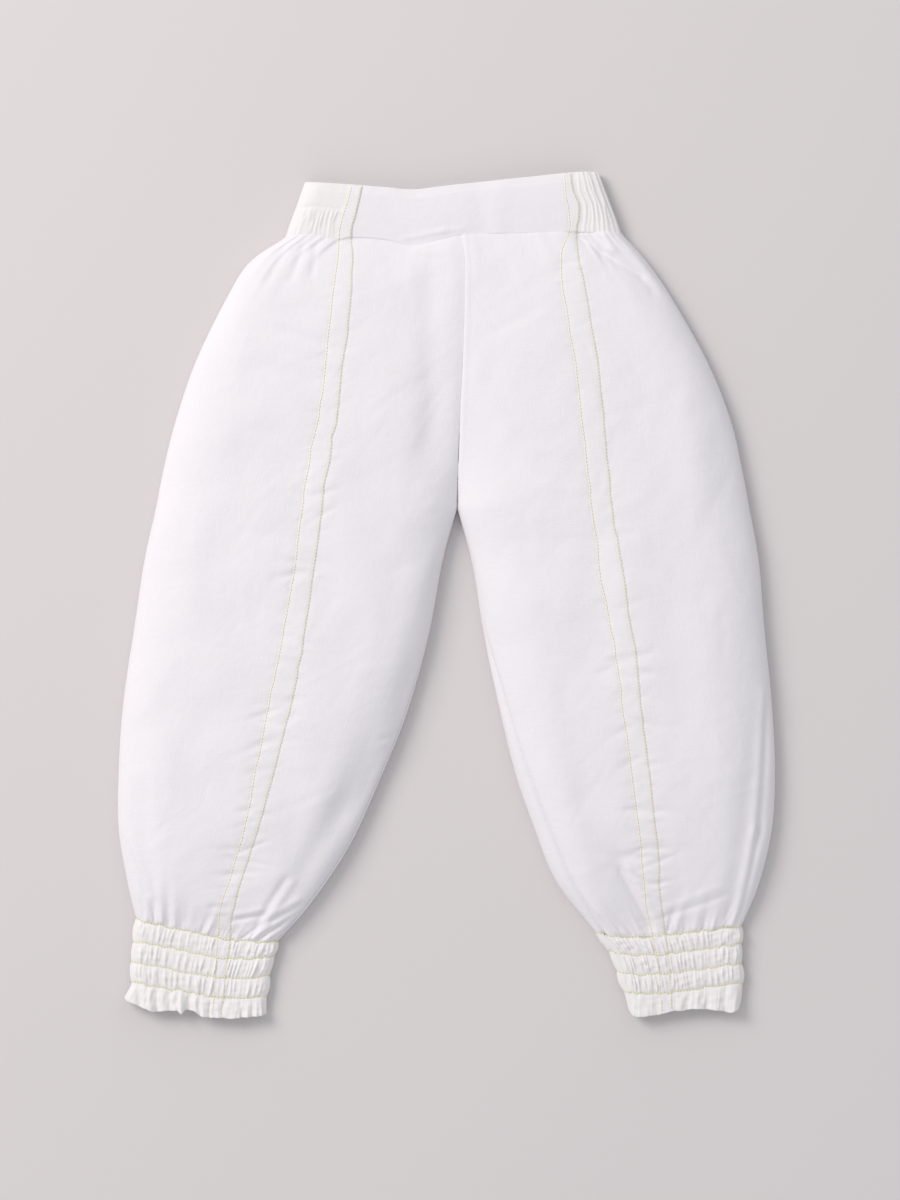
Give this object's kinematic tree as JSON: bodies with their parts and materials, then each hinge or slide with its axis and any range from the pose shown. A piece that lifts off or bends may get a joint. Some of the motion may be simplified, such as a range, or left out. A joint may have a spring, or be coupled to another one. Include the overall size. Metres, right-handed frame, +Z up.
{
  "type": "balloon-leg trousers",
  "caption": "Child's white balloon-leg trousers laid flat, front up, with a part-elasticated waistband, applied front strips and shirred ankle cuffs.",
  "frame": {"origin": "on the table, under the middle of the garment's outline", "axes": "+Y towards the waist, +Z up from the back to the front, +X towards the wearer's left leg"},
  "size_m": [0.3934, 0.5052, 0.0259],
  "materials": {
    "white_cotton": "matt white woven cotton",
    "shirred_cotton": "matt white woven cotton, gathered",
    "strip_cotton": "matt white woven cotton, topstitched",
    "lemon_thread": "pale lemon sewing thread"
  },
  "bodies": {
    "root": {"front_leg_right": "white_cotton", "front_leg_left": "white_cotton", "back_leg_right": "white_cotton", "back_leg_left": "white_cotton", "waistband_front": "white_cotton", "waistband_elastic": "shirred_cotton", "cuff_front_right": "shirred_cotton", "cuff_front_left": "shirred_cotton", "cuff_back_right": "shirred_cotton", "cuff_back_left": "shirred_cotton", "strip_right": "strip_cotton", "strip_left": "strip_cotton"}
  },
  "joints": []
}
